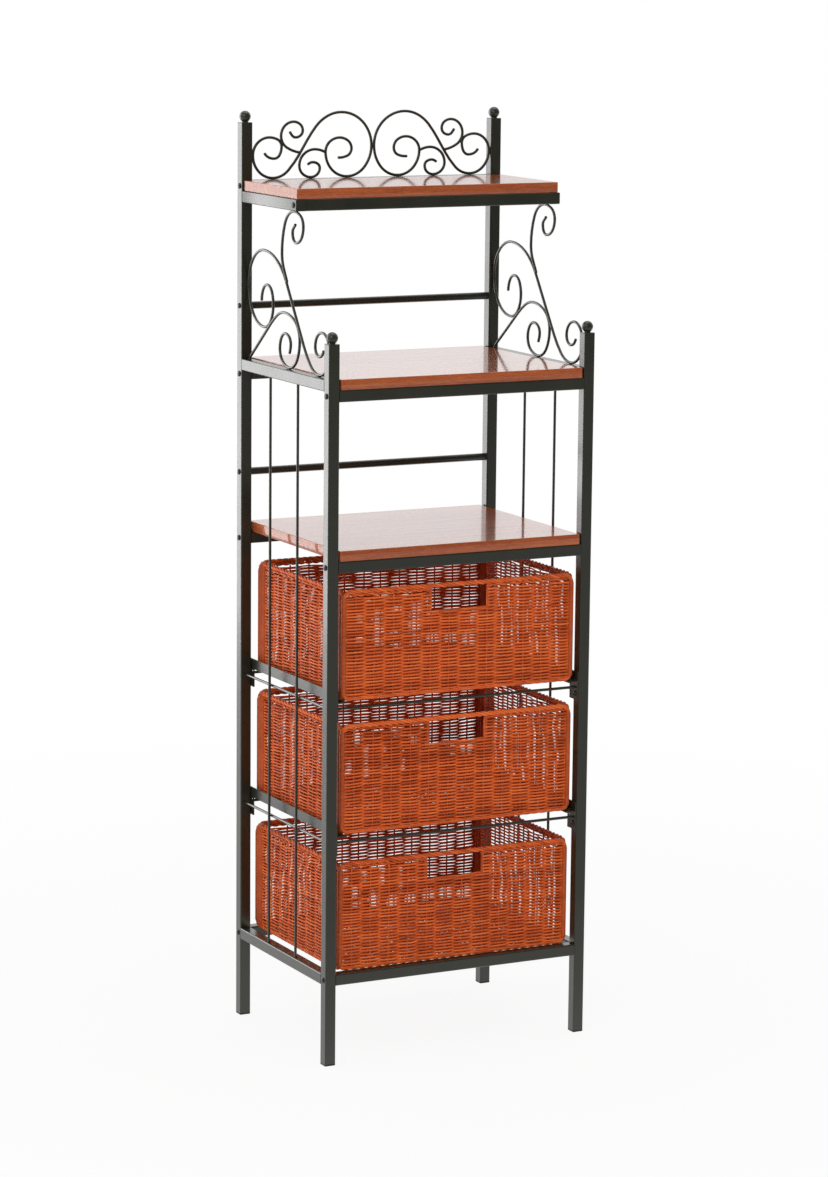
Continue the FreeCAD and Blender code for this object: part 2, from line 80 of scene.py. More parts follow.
ball_radius = 9.9 * MM
ball_centre = 11.5 * MM             # above the end of the post
neck_radius = 5.6 * MM
cap_height = 1.5 * MM
cap_edge_radius = 0.5 * MM
foot_edge_radius = 0.8 * MM
neck_sink = 0.3 * MM                # how far the ball's neck goes into its cap
arm_end_radius = 0.6 * MM
bolt_head_radius = 5.0 * MM
bolt_head_height = 3.0 * MM
bolt_head_rim = 0.8 * MM
bolt_head_sink = 0.4 * MM           # how far the head's underside lies in the tube's wall

cane_inset = 4.5 * MM               # middle of each woven wall, in from the basket's faces
stake_diameter = 3.0 * MM
stake_wander = 16.0 * MM            # times noise: how far stakes stand off their even places
row_crowding, row_waver, row_sag = 0.6, 0.32, 3.0     # times noise and the rows' pitch
strand_girth, strand_unevenness, strand_slack = 1.03, 0.28, 0.62    # the last two times noise
wall_row_pitch = 2.78 * MM
wall_strand_height = 3.04 * MM
wall_strand_thickness = 2.7 * MM
floor_row_pitch = 5.5 * MM
floor_strand_height = 7.0 * MM
floor_strand_thickness = 2.3 * MM
across_stakes = 12                  # along the front, the back and the floor
along_stakes = 8                    # along each side
corner_cane_radius = 4.4 * MM
corner_cane_count = 3
corner_cane_pitch = 9.0 * MM
side_row_gap = 15.0 * MM            # from the sides' rows to the middle of the front's
rim_roll_radius = 4.6 * MM          # overall, of the roll round the top
foot_roll_radius = 4.0 * MM         # overall, of the roll round the bottom
band_radius = 3.0 * MM              # overall, of the twist below the rim
rim_strands, rim_turn = 3, 36.0 * MM        # strands of the twist, and length of one turn
foot_strands, foot_turn = 4, 60.0 * MM
band_strands, band_turn = 2, 30.0 * MM
panel_top_radius = 14.0 * MM        # rounded corners of the front and back panels
panel_foot_radius = 9.0 * MM
hand_hole_half_width = 53.5 * MM
hand_hole_drop = 47.0 * MM
hole_edge_radius = 3.0 * MM
hole_bend_radius = 4.0 * MM
roll_trim = math.radians(22)        # of each quarter turn, left off at a roll's free ends
roll_end_girth = 0.72               # of a roll where its bends stand upright
rim_cane_girth, foot_cane_girth = 0.5, 0.45     # of a frame cane along the rim and the foot

weld_bead_radius = 2.9 * MM
runner_bolt_rise = 11.0 * MM        # above the foot of the runners' end plates


# ---- node trees
def label(key):
    """Name of the socket that a keyword stands for: row_pitch is Row Pitch."""
    return key.replace("_", " ").title()


class Field:
    """What a node puts out, with the usual arithmetic for numbers."""

    def __init__(self, net, socket):
        self.net = net
        self.socket = socket

    def __add__(self, other):
        return self.net.math("ADD", self, other)

    def __sub__(self, other):
        return self.net.math("SUBTRACT", self, other)

    def __rsub__(self, other):
        return self.net.math("SUBTRACT", other, self)

    def __mul__(self, other):
        return self.net.math("MULTIPLY", self, other)

    def __truediv__(self, other):
        return self.net.math("DIVIDE", self, other)

    __radd__ = __add__
    __rmul__ = __mul__


GROUP_NODES = {"GeometryNodeTree": "GeometryNodeGroup", "ShaderNodeTree": "ShaderNodeGroup"}


class Net:
    """Adds nodes to a tree; an input takes a plain value, a socket or a Field."""

    def __init__(self, tree):
        self.tree = tree

    def add(self, kind, inputs=None, **settings):
        node = self.tree.nodes.new(kind)
        for name, value in settings.items():
            setattr(node, name, value)
        for key, value in (inputs or {}).items():
            self.feed(node.inputs[key], value)
        return node

    def feed(self, socket, value):
        if isinstance(value, Field):
            value = value.socket
        if isinstance(value, bpy.types.NodeSocket):
            self.tree.links.new(value, socket)
        else:
            socket.default_value = value

    def out(self, kind, inputs=None, output=0, **settings):
        return Field(self, self.add(kind, inputs, **settings).outputs[output])

    def group(self, tree, **inputs):
        """The outputs, by name, of a node group inside this tree."""
        node = self.add(GROUP_NODES[tree.bl_idname],
                        {label(key): value for key, value in inputs.items()}, node_tree=tree)
        return {output.name: Field(self, output) for output in node.outputs}

    def math(self, operation, *values):
        return self.out("ShaderNodeMath", dict(enumerate(values)), operation=operation)

    def span(self, value, low, high, start=0.0, end=1.0):
        """Goes from low to high, and no further, as the value goes from start to end."""
        return self.out("ShaderNodeMapRange", {0: value, "From Min": start, "From Max": end,
                                               "To Min": low, "To Max": high})

    def vector(self, x=0.0, y=0.0, z=0.0):
        return self.out("ShaderNodeCombineXYZ", {0: x, 1: y, 2: z})

    def vector_math(self, operation, *values, **inputs):
        return self.out("ShaderNodeVectorMath", {**dict(enumerate(values)), **inputs},
                        operation=operation)

    def parts(self, vector):
        split = self.add("ShaderNodeSeparateXYZ", {0: vector})
        return [Field(self, output) for output in split.outputs]

    def named(self, name):
        """A float attribute of the geometry, by name, in a Geometry Nodes tree."""
        return self.out("GeometryNodeInputNamedAttribute", {"Name": name})

    def store(self, geometry, name, value):
        return self.out("GeometryNodeStoreNamedAttribute",
                        {"Geometry": geometry, "Name": name, "Value": value})

    def joined(self, *geometries):
        node = self.add("GeometryNodeJoinGeometry")
        for geometry in reversed(geometries):
            self.feed(node.inputs[0], geometry)
        return node.outputs[0]

    def line(self, count, start, offset):
        return self.out("GeometryNodeMeshLine",
                        {"Count": count, "Start Location": start, "Offset": offset})

    def copies(self, points, instance, **inputs):
        """Real copies of one geometry on all the points of another."""
        placed = self.out("GeometryNodeInstanceOnPoints",
                          {"Points": points, "Instance": instance, **inputs})
        return self.out("GeometryNodeRealizeInstances", {0: placed})

    def noise(self, vector, detail=1.0, scale=1.0, **inputs):
        return self.out("ShaderNodeTexNoise",
                        {"Vector": vector, "Scale": scale, "Detail": detail, **inputs})

    def grain(self, x, y, z, detail=1.0, scale=1.0):
        """Smooth noise about zero."""
        return self.noise(self.vector(x, y, z), detail, scale) - 0.5

    def lot(self, x, y):
        """One random number from 0 to 1 for each pair of whole numbers."""
        return self.out("ShaderNodeTexWhiteNoise", {"Vector": self.vector(x, y)})


def new_tree(kind, name, outputs, inputs):
    """A node group, the Net to fill it with and its inputs.

    An input is given as its default value, or as its kind of socket where it has none.
    """
    tree = bpy.data.node_groups.new(name, kind)
    for way, sockets in (("INPUT", inputs), ("OUTPUT", outputs)):
        for key, value in sockets.items():
            socket_kind = {float: "Float", int: "Int", str: value}[type(value)]
            item = tree.interface.new_socket(name=label(key), in_out=way,
                                             socket_type="NodeSocket" + socket_kind)
            if value != socket_kind:
                item.default_value = value
    net = Net(tree)
    entry = net.add("NodeGroupInput").outputs
    return tree, net, SimpleNamespace(**{key: Field(net, entry[label(key)]) for key in inputs})


def geometry_tree(**inputs):
    """Makes a Geometry Nodes tree of a function that fills it and gives its geometry.

    The tree ends in real mesh with smooth faces and its material.
    """
    def make(fill):
        # a modifier hands its object's mesh to the first input
        tree, net, given = new_tree(
            "GeometryNodeTree", fill.__name__, {"geometry": "Geometry"},
            {"geometry": "Geometry", **inputs, "material": "Material"})
        real = net.out("GeometryNodeRealizeInstances", {0: fill(net, given)})
        smooth = net.out("GeometryNodeSetShadeSmooth", {0: real})
        done = net.out("GeometryNodeSetMaterial", {0: smooth, "Material": given.material})
        net.add("NodeGroupOutput", {0: done})
        return tree
    return make


def pattern(**inputs):
    """Makes a shader group of a function that gives a noise, from a vector and the inputs.

    It puts out the noise as a height and, drawn out by the contrast, as a mask.
    """
    def make(fill):
        tree, net, given = new_tree(
            "ShaderNodeTree", fill.__name__, {"mask": "Float", "height": "Float"},
            {"vector": "Vector", **inputs})
        noise = fill(net, given)
        mask = net.out("ShaderNodeClamp", {0: (noise - 0.5) * given.contrast + 0.5})
        net.add("NodeGroupOutput", {"Mask": mask, "Height": noise})
        return tree
    return make


def swept(net, curve, profile_radius, sides, girth, flatness=1.0):
    """Mesh round a curve; the profile's width across the wall is radius times flatness."""
    ring = net.out("GeometryNodeCurvePrimitiveCircle",
                   {"Resolution": sides, "Radius": profile_radius})
    ring = net.store(ring, "around", net.out("GeometryNodeSplineParameter"))
    _, up, _ = net.parts(net.out("GeometryNodeInputPosition"))
    ring = net.store(ring, "edge", up / profile_radius)
    ring = net.out("GeometryNodeTransform", {0: ring, "Scale": net.vector(flatness, 1.0, 1.0)})
    return net.out("GeometryNodeCurveToMesh",
                   {"Curve": curve, "Profile Curve": ring, "Scale": girth, "Fill Caps": True})


@geometry_tree(radius=wire_radius, sides=12)
def rod_tree(net, given):
    """Round rods along the edges of a mesh, as thick as its girth attribute says."""
    curve = net.out("GeometryNodeMeshToCurve", {0: given.geometry})
    curve = net.store(curve, "along", net.out("GeometryNodeSplineParameter", None, "Length"))
    return swept(net, curve, given.radius, given.sides, net.named("girth"))


@geometry_tree(part="Object")
def fixing_tree(net, given):
    """A copy of one turned part on every point, with its axis along the facing attribute."""
    part = net.out("GeometryNodeObjectInfo", {"Object": given.part}, "Geometry")
    facing = net.out("GeometryNodeInputNamedAttribute", {"Name": "facing"},
                     data_type="FLOAT_VECTOR")
    turned_to = net.out("FunctionNodeAlignRotationToVector", {"Vector": facing}, axis="Z")
    return net.copies(given.geometry, part, Rotation=turned_to)


@geometry_tree(strands=2, pitch=0.04, strand_radius=0.002, twist_radius=0.002, step=0.004,
               seed=0.0)
def twist_tree(net, given):
    """Strands that twist round the edges of a mesh, as in a rope or a rolled border."""
    sides = 7
    curve = net.out("GeometryNodeMeshToCurve", {0: given.geometry})
    curve = net.out("GeometryNodeResampleCurve", {"Curve": curve, "Length": given.step},
                    mode="LENGTH")
    curve = net.out("GeometryNodeSetCurveNormal", {0: curve}, mode="Z_UP")
    copies = net.add("GeometryNodeDuplicateElements", {0: curve, "Amount": given.strands},
                     domain="SPLINE").outputs
    curve = net.store(copies["Geometry"], "lay", copies["Duplicate Index"])
    lay, girth = net.named("lay"), net.named("girth")
    turns = net.math("ROUND", net.out("GeometryNodeSplineLength") / given.pitch)
    factor = net.out("GeometryNodeSplineParameter")
    angle = (turns * factor + lay / given.strands) * math.tau
    across = net.out("GeometryNodeInputNormal")
    above = net.vector_math("CROSS_PRODUCT", net.out("GeometryNodeInputTangent"), across)
    reach = given.twist_radius * girth
    offset = net.vector_math("ADD", *[
        net.vector_math("SCALE", way, Scale=net.math(wave, angle) * reach)
        for way, wave in ((across, "COSINE"), (above, "SINE"))])
    curve = net.store(curve, "along", net.out("GeometryNodeSplineParameter", None, "Length"))
    curve = net.store(curve, "strand", net.lot(lay + 0.5, given.seed))
    wander = net.grain(net.named("along"), lay * 3.1, given.seed, 2.0, 60.0)
    curve = net.out("GeometryNodeSetPosition", {0: curve, "Offset": offset})
    return swept(net, curve, given.strand_radius, sides, (wander * 0.4 + 1.0) * girth)


def make_panel_group():
    """Flat woven panel in the XZ plane: cane rows that pass over and under single stakes.

    The rows lie along X and the stakes along Z, from Base up to Base plus Height.  Nothing
    is woven above Hole Bottom within Hole Half Width of the middle.
    """
    inputs = dict.fromkeys(("length", "base", "height", "stake_pitch", "row_pitch",
                            "strand_height", "strand_thickness", "hole_half_width",
                            "hole_bottom", "seed"), 0.0)
    tree, net, given = new_tree("GeometryNodeTree", "woven_panel", {"geometry": "Geometry"},
                                dict(inputs, stakes=0, samples=6))
    row_sides = 5
    stake_sides = 8
    stake_points = 14
    seed, pitch, row_pitch = given.seed, given.stake_pitch, given.row_pitch
    first_stake = given.stakes * -0.5 + 0.5         # in pitches from the middle

    def in_hole(x, z):
        beside = net.math("LESS_THAN", net.math("ABSOLUTE", x), given.hole_half_width)
        return beside * net.math("GREATER_THAN", z, given.hole_bottom)

    def drift(x):
        """How far a stake and the weave on it stand off their even place."""
        free = 1.0 - net.math("ABSOLUTE", x) / (given.length * 0.5)
        return net.grain(x * 26.0, 0.0, seed) * free * stake_wander

    # rows; each noise takes x times its waves in a metre, and row times how much rows differ
    step = pitch / given.samples
    reach = net.math("FLOOR", given.length * 0.5 / step + 0.01)
    one_row = net.line(reach * 2.0 + 1.0, net.vector(reach * step * -1.0), net.vector(step))
    row_starts = net.line(net.math("FLOOR", given.height / row_pitch),
                          net.vector(z=given.base + row_pitch * 0.5),
                          net.vector(z=row_pitch))
    rows = net.copies(row_starts, one_row)
    x, _, z = net.parts(net.out("GeometryNodeInputPosition"))
    rows = net.out("GeometryNodeDeleteGeometry", {0: rows, "Selection": in_hole(x, z)})
    rows = net.store(rows, "row", net.math("FLOOR", (z - given.base) / row_pitch))
    row = net.named("row")
    swing = net.math("COSINE", (x / pitch - first_stake + row) * math.pi)
    swing = swing * (1.5 - swing * swing * 0.5)
    depth = (given.strand_thickness + stake_diameter) * 0.5
    crowd = net.grain(x * 14.0, row * 0.23, seed)
    waver = net.grain(x * 22.0, row * 3.7, seed + 7.3)
    share = (z - given.base) / given.height
    belly = share * (1.0 - share) * 4.0
    sag = net.grain(x * 8.0, row * 0.05, seed + 1.7) * belly
    rise = (crowd * row_crowding + waver * row_waver + sag * row_sag) * row_pitch
    offset = net.vector(drift(x), swing * depth, rise)
    rows = net.store(rows, "along", x)
    rows = net.store(rows, "strand", net.lot(row + 0.5, seed))
    rows = net.out("GeometryNodeSetPosition", {0: rows, "Offset": offset})
    rows = net.out("GeometryNodeSetCurveNormal",
                   {0: net.out("GeometryNodeMeshToCurve", {0: rows})}, mode="Z_UP")
    along, row = net.named("along"), net.named("row")
    uneven = net.grain(along * 16.0, row * 5.3, seed, 2.0)
    slack = net.grain(along * 24.0, row * 0.09, seed + 3.1)
    girth = uneven * strand_unevenness - slack * strand_slack + strand_girth
    rows = swept(net, rows, given.strand_height * 0.5, row_sides, girth,
                 given.strand_thickness / given.strand_height)

    # stakes
    feet = net.line(given.stakes, net.vector(first_stake * pitch, 0.0, given.base),
                    net.vector(pitch))
    short = net.math("LESS_THAN", net.math("ABSOLUTE", x), given.hole_half_width)
    height = short * (given.hole_bottom - given.base) + (1.0 - short) * given.height
    one_stake = net.line(stake_points, (0.0, 0.0, 0.0), (0.0, 0.0, 1.0 / (stake_points - 1)))
    stakes = net.copies(feet, one_stake, Scale=net.vector(1.0, 1.0, height))
    stake = net.math("ROUND", x / pitch - first_stake)
    stakes = net.store(stakes, "along", z)
    stakes = net.store(stakes, "strand", net.lot(stake, seed + 5.0))
    lean = net.grain(stake * 2.7, z * 9.0, seed, 2.0) * 3.0 * MM
    stakes = net.out("GeometryNodeSetPosition",
                     {0: stakes, "Offset": net.vector(drift(x) + lean)})
    stakes = net.out("GeometryNodeMeshToCurve", {0: stakes})
    stakes = swept(net, stakes, stake_diameter * 0.5, stake_sides, 1.0)
    net.add("NodeGroupOutput", {0: net.joined(rows, stakes)})
    return tree


woven_panel = make_panel_group()


def panel(net, place, turn, **values):
    """One woven panel inside another tree, turned and then moved to its place."""
    woven = net.group(woven_panel, **values)["Geometry"]
    return net.out("GeometryNodeTransform",
                   {0: woven, "Translation": place, "Rotation": turn})


@geometry_tree(half_width=0.0, half_depth=0.0, row_length=0.0, side_row_length=0.0,
               across_pitch=0.0, along_pitch=0.0, base=0.0, height=0.0, hole_bottom=0.0,
               seed=0.0, place="Vector")
def wall_tree(net, given):
    """Four woven walls of a basket that stands on the origin, the front one with a hand hole."""
    common = {"base": given.base, "height": given.height, "row_pitch": wall_row_pitch,
              "strand_height": wall_strand_height, "strand_thickness": wall_strand_thickness}
    across = dict(common, length=given.row_length, stakes=across_stakes,
                  stake_pitch=given.across_pitch)
    front = dict(across, hole_half_width=hand_hole_half_width, hole_bottom=given.hole_bottom)
    along = dict(common, length=given.side_row_length, stakes=along_stakes,
                 stake_pitch=given.along_pitch)
    quarter = 0.5 * math.pi
    walls = []
    for side, turn, shift, values in ((-1.0, 0.0, 0.0, front), (1.0, 0.0, 11.0, across),
                                      (-1.0, quarter, 23.0, along), (1.0, quarter, 37.0, along)):
        if turn:
            place = net.vector(given.half_width * side)
        else:
            place = net.vector(0.0, given.half_depth * side)
        walls.append(panel(net, place, (0.0, 0.0, turn), seed=given.seed + shift, **values))
    return net.out("GeometryNodeTransform",
                   {0: net.joined(*walls), "Translation": given.place})


@geometry_tree(row_length=0.0, depth=0.0, across_pitch=0.0, seed=0.0, place="Vector")
def floor_tree(net, given):
    """The woven floor of a basket: a panel laid flat."""
    return panel(net, given.place, (-0.5 * math.pi, 0.0, 0.0), length=given.row_length,
                 base=given.depth * -0.5, height=given.depth, stakes=across_stakes,
                 stake_pitch=given.across_pitch, row_pitch=floor_row_pitch,
                 strand_height=floor_strand_height,
                 strand_thickness=floor_strand_thickness, seed=given.seed)


# ---- meshes
def linked(name, mesh):
    mesh.name = name
    piece = bpy.data.objects.new(name, mesh)
    bpy.context.scene.collection.objects.link(piece)
    return piece


def grown(name, start_mesh, tree, **values):
    """Plain mesh object that a tree makes from a start mesh and the named values."""
    maker = linked(name + "_maker", start_mesh)
    modifier = maker.modifiers.new("grow", "NODES")
    modifier.node_group = tree
    sockets = {item.name: item.identifier for item in tree.interface.items_tree
               if item.in_out == "INPUT"}
    for key, value in values.items():
        modifier[sockets[label(key)]] = value
    graph = bpy.context.evaluated_depsgraph_get()
    mesh = bpy.data.meshes.new_from_object(maker.evaluated_get(graph),
                                           preserve_all_data_layers=True, depsgraph=graph)
    bpy.data.objects.remove(maker)
    mesh.set_sharp_from_angle(angle=math.radians(50))
    return linked(name, mesh)


def dress(piece, slot, *nodes, body="frame"):
    """The piece rides on a body in place of these nodes; the slot argument is not used."""
    if nodes:
        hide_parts(*nodes)
    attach(piece, body)


def path_mesh(paths):
    """Edges along (points, closed, girths) paths; a path without girths is even."""
    points = []
    edges = []
    girths = []
    for path, closed, *given_girths in paths:
        first = len(points)
        count = len(path)
        points += [tuple(point) for point in path]
        edges += [(first + i, first + i + 1) for i in range(count - 1)]
        if closed:
            edges.append((first + count - 1, first))
        girths += given_girths[0] if given_girths else [1.0] * count
    mesh = bpy.data.meshes.new("path")
    mesh.from_pydata(points, edges, [])
    mesh.attributes.new("girth", "FLOAT", "POINT").data.foreach_set("value", girths)
    return mesh


def cut_wire(points):
    """A wire's path with an extra point just inside each end, and girths that ease both."""
    ease = 0.5 * MM
    start = points[0] + (points[1] - points[0]).normalized() * ease
    end = points[-1] + (points[-2] - points[-1]).normalized() * ease
    path = [points[0], start] + list(points[1:-1]) + [end, points[-1]]
    return path, False, [cut_tip] + [1.0] * (len(path) - 2) + [cut_tip]


def turned(profile, sides):
    """Mesh turned about Z from (radius, height) pairs; the first and last lie on the axis."""
    points = [(0.0, 0.0, profile[0][1])]
    for radius, height in profile[1:-1]:
        for i in range(sides):
            angle = math.tau * i / sides
            points.append((radius * math.cos(angle), radius * math.sin(angle), height))
    points.append((0.0, 0.0, profile[-1][1]))
    top = len(points) - 1 - sides       # first point of the last ring
    faces = []
    for i in range(sides):
        j = (i + 1) % sides
        faces.append((0, 1 + j, 1 + i))
        for low in range(1, top, sides):
            high = low + sides
            faces.append((low + i, low + j, high + j, high + i))
        faces.append((top + i, top + j, len(points) - 1))
    mesh = bpy.data.meshes.new("turned")
    mesh.from_pydata(points, [], faces)
    return mesh


def rounded_outline(half_u, half_v, radius, steps=4):
    """Outline of a rectangle with round corners, anticlockwise, with a margin beside each."""
    spots = [(0.0, -flat_margin), *[(i / steps, 0.0) for i in range(steps + 1)],
             (1.0, flat_margin)]
    outline = []
    for turn, (side_u, side_v) in enumerate(((1, 1), (-1, 1), (-1, -1), (1, -1))):
        for share, onward in spots:
            angle = 0.5 * math.pi * (turn + share)
            away = Vector((math.cos(angle), math.sin(angle)))
            outline.append((side_u * (half_u - radius) + radius * away.x - onward * away.y,
                            side_v * (half_v - radius) + radius * away.y + onward * away.x))
    return outline


def rounded_bar(low, high, corner_radius, along=None, edge_radius=0.0):
    """Mesh of a bar that fills a box: its long edges are round, and its ends may be eased."""
    size = high - low
    middle = (low + high) / 2
    if along is None:
        along = max(range(3), key=lambda axis: size[axis])
    u, v = (along + 1) % 3, (along + 2) % 3
    ease = [(0.0, 0.0)]                 # how far in from the sides, and in from the end
    if edge_radius:
        steps = 3
        angles = [0.5 * math.pi * i / steps for i in range(steps + 1)]
        ease = [(edge_radius + flat_margin, 0.0)]
        ease += [(edge_radius * (1 - math.sin(angle)), edge_radius * (1 - math.cos(angle)))
                 for angle in angles]
    rings = [(inset, low[along] + depth) for inset, depth in ease]
    rings += [(inset, high[along] - depth) for inset, depth in reversed(ease)]
    points = []
    for inset, level in rings:
        for across, up in rounded_outline(size[u] / 2 - inset, size[v] / 2 - inset,
                                          max(corner_radius - inset, 0.2 * MM)):
            point = Vector((0, 0, 0))
            point[along] = level
            point[u] = middle[u] + across
            point[v] = middle[v] + up
            points.append(tuple(point))
    count = len(points) // len(rings)
    last = len(points) - count
    faces = [tuple(reversed(range(count))), tuple(range(last, len(points)))]
    for base in range(0, last, count):
        for i in range(count):
            j = (i + 1) % count
            faces.append((base + i, base + j, base + count + j, base + count + i))
    mesh = bpy.data.meshes.new("bar")
    mesh.from_pydata(points, [], faces)
    return mesh


def merged(name, meshes, material):
    """One smooth-shaded object of several meshes, with one material."""
    points = []
    faces = []
    for mesh in meshes:
        first = len(points)
        points += [tuple(vertex.co) for vertex in mesh.vertices]
        faces += [tuple(first + i for i in face.vertices) for face in mesh.polygons]
    whole = bpy.data.meshes.new(name)
    whole.from_pydata(points, [], faces)
    whole.materials.append(material)
    whole.shade_smooth()
    whole.set_sharp_from_angle(angle=math.radians(35))
    return linked(name, whole)


# ---- bent wire
# Each wire is a list of (across, up, heading in degrees), in millimetres, and a pair of
# tangent arcs joins each two points.  Across runs out from the middle of the crest, and back
# from the front post on a side; up is above the rail.
CREST_WIRES = [
    [(68, 35.5, 185), (41.5, 51, 90), (65, 70.3, 0), (92, 45.5, -90), (50, 2.5, -180),
     (2.5, 55.5, -270), (62, 114.6, -360), (111, 90, -411), (143, 42, -418),
     (193, 2.5, -360), (231.5, 42, -270), (200.5, 72.8, -180), (176.8, 56.5, -90),
     (191, 36, 0), (209.5, 46, 62)],
    [(94.5, 46.5, 25), (113, 50.8, 0), (142.5, 23, -90), (120, 2.5, -180), (103, 18, -270),
     (116.5, 28.4, -360), (126.5, 24.3, -400)],
    [(142, 45.8, 8), (177.8, 75, 90), (154, 99.2, 180), (136.2, 84, 270), (149.5, 72, 360),
     (161.4, 82.2, 420)],
]
SIDE_WIRES = [
    [(138.5, 247.2, -48), (150.2, 232.5, -90), (135.8, 216, -180), (107.9, 244.3, -270),
     (143.5, 268.5, -360), (192.2, 195, -450), (171.5, 147.4, -484)],
    [(273.6, 106.3, 90), (250, 135.6, 180), (226.3, 103, 270), (263.4, 62, 360),
     (327.5, 130.6, 450), (263.7, 194, 540), (174.5, 147.3, 595), (104, 45, 595),
     (43, 2.5, 540), (2.5, 40, 450), (32, 74.5, 360), (59.1, 49, 270), (43.2, 33.2, 180),
     (26.2, 45.4, 110)],
    [(321.4, 3.5, 142), (237, 69.5, 141), (180.4, 94.5, 180), (120, 51, 270),
     (160, 2.5, 360), (199, 32, 450), (175.6, 59.3, 540), (155.5, 42, 630),
     (160.1, 26.6, 655)],
]
ARC_STEP = math.radians(7)


def dot(a, b):
    return (a.conjugate() * b).real


def arc(start, heading, end):
    """Points of the arc that leaves start along the heading, and its heading at the end."""
    half_turn = cmath.phase((end - start) / heading)
    if abs(half_turn) < 1e-4:
        return [end], heading
    centre = start + 1j * heading * abs(end - start) / (2 * math.sin(half_turn))
    count = max(1, math.ceil(abs(2 * half_turn) / ARC_STEP))
    turn = cmath.exp(2j * half_turn)
    spokes = [cmath.exp(2j * half_turn * i / count) for i in range(1, count + 1)]
    return [centre + (start - centre) * spoke for spoke in spokes], heading * turn


def wire_line(nodes):
    """Points of the smooth line through the nodes of one wire, as complex numbers."""
    line = [complex(*nodes[0][:2])]
    for (u0, v0, angle0), (u1, v1, angle1) in zip(nodes[:-1], nodes[1:]):
        start, end = complex(u0, v0), complex(u1, v1)
        leave, arrive = [cmath.exp(1j * math.radians(angle)) for angle in (angle0, angle1)]
        chord = end - start
        spread = 1 - dot(leave, arrive)
        along = dot(chord, leave + arrive)
        if spread < 1e-9:
            reach = abs(chord) ** 2 / (4 * dot(chord, arrive))
        else:
            reach = (math.sqrt(along ** 2 + 2 * spread * abs(chord) ** 2) - along)
            reach /= 2 * spread
        joint = (start + leave * reach + end - arrive * reach) / 2
        first, heading = arc(start, leave, joint)
        second, _ = arc(joint, heading, end)
        line += first + second
    return line


def stretched(wires, span, rise):
    """The wires fitted to an opening, in millimetres, so that their outer sides touch it."""
    radius = wire_radius / MM
    fitted = []
    for axis, room in ((0, span / MM), (1, rise / MM)):
        values = [node[axis] for nodes in wires for node in nodes]
        low, high = min(values), max(values)
        scale = (room - 2 * radius) / (high - low)
        fitted.append([[radius + (node[axis] - low) * scale for node in nodes]
                       for nodes in wires])
    return [[(u, v, node[2]) for u, v, node in zip(across, up, nodes)]
            for across, up, nodes in zip(fitted[0], fitted[1], wires)]


def touching_spots(lines):
    """Middle of each place where two of the lines come within a weld of each other."""
    reach = 2.15 * wire_radius / MM
    spots = []
    for index, line in enumerate(lines):
        for other in lines[index + 1:]:
            nearest = [min(other, key=lambda point: abs(point - place)) for place in line]
            gaps = [abs(a - b) for a, b in zip(line, nearest)]
            for i, gap in enumerate(gaps):
                if gap < reach and gap == min(gaps[max(0, i - 3):i + 4]):
                    spots.append((line[i] + nearest[i]) / 2)
    return spots


def frame_spots(wires, span, rise):
    """Where the outermost nodes of the wires are welded to the sides of their opening."""
    near = 1.5 * wire_radius / MM
    bite = 0.25 * wire_radius / MM
    spots = []
    for nodes in wires:
        for u, v, _ in nodes:
            for value, edge, spot in ((u, 0, complex(bite, v)),
                                      (u, span / MM, complex(span / MM - bite, v)),
                                      (v, 0, complex(u, bite)),
                                      (v, rise / MM, complex(u, rise / MM - bite))):
                if abs(value - edge) < near:
                    spots.append(spot)
    return spots


def scroll(wires, span, rise, highest_weld=1.0):
    """Lines of the wires fitted to an opening, and the spots where they are welded.

    Nothing is welded to the opening's sides above the given share of its rise.
    """
    wires = stretched(wires, span, rise)
    lines = [wire_line(nodes) for nodes in wires]
    at_sides = [spot for spot in frame_spots(wires, span, rise)
                if spot.imag <= highest_weld * rise / MM]
    return lines, touching_spots(lines) + at_sides


def in_plane(corner, across, complex_points):
    """Points of an upright plane, from millimetres across and up from its corner."""
    return [corner + across * (point.real * MM) + Z_AXIS * (point.imag * MM)
            for point in complex_points]


# ---- materials
@pattern(scale=10.0, detail=3.0, contrast=1.0)
def mottle(net, given):
    """Soft unevenness, for tone, gloss and a slight relief."""
    return net.noise(given.vector, given.detail, given.scale)


@pattern(length=0.02, width=0.001, contrast=2.0)
def streaks(net, given):
    """Fine fibres that run along the vector's X."""
    x, y, z = net.parts(given.vector)
    fibre = net.vector(x / given.length, y / given.width, z / given.width)
    return net.noise(fibre, 4.0, Roughness=0.6)


def new_material(name):
    """A material without nodes, and the Net to fill it with."""
    material = bpy.data.materials.new(name)
    material.use_nodes = True
    material.node_tree.nodes.clear()
    return material, Net(material.node_tree)


def finish_material(net, **surface):
    """Ends a material with a Principled surface, from plain values and what nodes put out."""
    shader = net.out("ShaderNodeBsdfPrincipled",
                     {key.replace("_", " "): value for key, value in surface.items()})
    net.add("ShaderNodeOutputMaterial", {"Surface": shader})


def ramp(net, factor, *stops):
    """Colour that goes through the (place, colour) stops as the factor rises."""
    node = net.add("ShaderNodeValToRGB", {0: factor})
    elements = node.color_ramp.elements
    elements[0].position, elements[0].color = stops[0][0], (*stops[0][1], 1)
    elements[1].position, elements[1].color = stops[-1][0], (*stops[-1][1], 1)
    for place, colour in stops[1:-1]:
        elements.new(place).color = (*colour, 1)
    return node.outputs[0]


def bump(net, height, distance):
    return net.out("ShaderNodeBump", {"Height": height, "Distance": distance, "Strength": 1.0})


def object_place(net):
    return net.out("ShaderNodeTexCoord", None, "Object")


